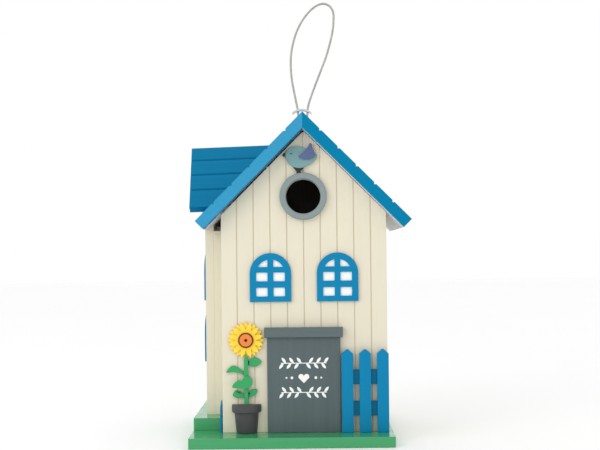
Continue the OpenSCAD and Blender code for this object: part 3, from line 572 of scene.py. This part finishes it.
# Leaf green, with painted shadow marks in the slit and joints between stem and leaves
give(painted("leaf_green", LEAF, "z", 0.42, 0.08, tinted(LEAF, 0.35), 1.12, sides=0.62,
             gloss=0.3, marks=LEAF_SHADOW_MARKS, mark_shade=tinted(LEAF, 0.06)),
     "flower_stem", "flower_leaves", "flower_middle_leaf")
give(painted("bird_blue", BIRD_BLUE, "x", 0.42, 0.19, tinted(BIRD_BLUE, 0.5), 1.08, sides=0.7,
             gloss=0.35, marks=[BIRD_EYE], mark_shade=NEAR_BLACK),
     "bird_body")
give(painted("bird_purple", BIRD_PURPLE, "x", 0.42, 0.18, tinted(BIRD_PURPLE, 0.5), 1.1, sides=0.7,
             gloss=0.35),
     "bird_wing")
give(painted("trim_black", NEAR_BLACK, "z", 0.5, 0.2, edge=1.8), "bird_beak", "bird_legs")
give(painted("disc_orange", ORANGE, "x", 0.42, 0.06), "flower_disc")
give(painted("disc_brown", BROWN, "x", 0.45, 0.12, gloss=0.3), "flower_disc_ring")
give(painted("dot_brown", tinted(BROWN, 0.4), "x", 0.45, 0.12, gloss=0.2), "flower_disc_centre")

HEAD_X = -54.3
HEAD_Z = 94.9
head = (HEAD_X * MM, -75 * MM, HEAD_Z * MM)
petals = petal_paint("petal_yellow", head, colour(252, 196, 36), colour(255, 224, 62), (7, 15))
give(petals, "flower_petals_back", "flower_petals_front")

give(raw_pine("ridge_pine", "x"), "ridge_block")
give(metal("aluminium", colour(206, 208, 206), 0.36, (900, 90, 900)),
     "loop_clamp", "loop_ferrules", "loop_plate")
give(metal("zinc_steel", colour(186, 190, 194), 0.34),
     "base_screws", "roof_nails", "hinge_frame_screws", "hinge_door_screws", "turn_button_screw")
give(metal("brass", colour(206, 168, 92), 0.30, (700, 700, 80)),
     "clean_out_knob", "hinge_frame_leaves", "hinge_door_leaves", "hinge_pins", "turn_button")
rope.data.materials.append(metal("rope_steel", colour(190, 190, 184), 0.42, (300, 300, 300)))
finished.add("hanging_loop")

plain = sorted(set(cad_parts) - finished)
if plain:
    raise ValueError(f"nodes without a finish: {plain}")

# ---- Sanded edges ----

SANDED_R = 0.5 * MM


def sand_edges(*nodes):
    """Rounds the sharp edges of simple boards, without moving their faces."""
    for name in nodes:
        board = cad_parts[name]
        weld = board.modifiers.new("weld", "WELD")
        weld.merge_threshold = 0.01 * MM
        flatten = board.modifiers.new("flatten", "DECIMATE")
        flatten.decimate_type = "DISSOLVE"
        flatten.angle_limit = math.radians(1)
        sanded = board.modifiers.new("sanded", "BEVEL")
        sanded.width = SANDED_R
        sanded.segments = 2
        sanded.limit_method = "ANGLE"
        sanded.angle_limit = math.radians(30)
        sanded.harden_normals = True


sand_edges("door_panel", "door_lintel", "fence_picket_1", "fence_picket_2", "fence_picket_3")

# ---- Studio ----

FLOOR_HALF = 6.0
FLOOR_GAP = 0.2 * MM
AIM = (0, 0, 0.17)
KEY_PLACE = (-0.95, -1.0, 0.8)
KEY_SIZE = 0.8
KEY_POWER = 3.8
SURROUND = 1.0


def make_floor():
    """A large pale floor, under the base."""
    mesh = bpy.data.meshes.new("floor")
    corners = [(-1, -1), (1, -1), (1, 1), (-1, 1)]
    mesh.from_pydata([(x * FLOOR_HALF, y * FLOOR_HALF, 0) for x, y in corners], [], [(0, 1, 2, 3)])
    floor = bpy.data.objects.new("floor", mesh)
    floor.location.z = -FLOOR_GAP
    bpy.context.scene.collection.objects.link(floor)
    shader = Shader("floor_white")
    tone = shader.mix(shader.noise(shader.place, 2.0), colour(251, 251, 251), colour(254, 254, 254))
    mesh.materials.append(shader.finish(Base_Color=tone, Roughness=0.7))


def make_softbox(name, place, aim, size, power):
    """A square soft light at place, turned to face aim."""
    data = bpy.data.lights.new(name, "AREA")
    data.shape = "SQUARE"
    data.size = size
    data.energy = power
    lamp = bpy.data.objects.new(name, data)
    lamp.location = place
    lamp.rotation_euler = (Vector(place) - Vector(aim)).to_track_quat("Z", "Y").to_euler()
    bpy.context.scene.collection.objects.link(lamp)


def make_world(strength):
    """An even white surround."""
    world = bpy.data.worlds.new("studio")
    world.use_nodes = True
    background = world.node_tree.nodes["Background"]
    background.inputs["Color"].default_value = (1, 1, 1, 1)
    background.inputs["Strength"].default_value = strength
    bpy.context.scene.world = world


make_floor()
make_world(SURROUND)
make_softbox("key", KEY_PLACE, AIM, KEY_SIZE, KEY_POWER)
bpy.context.scene.view_settings.view_transform = "Standard"

# ---- Finish ----

bpy.context.view_layer.update()
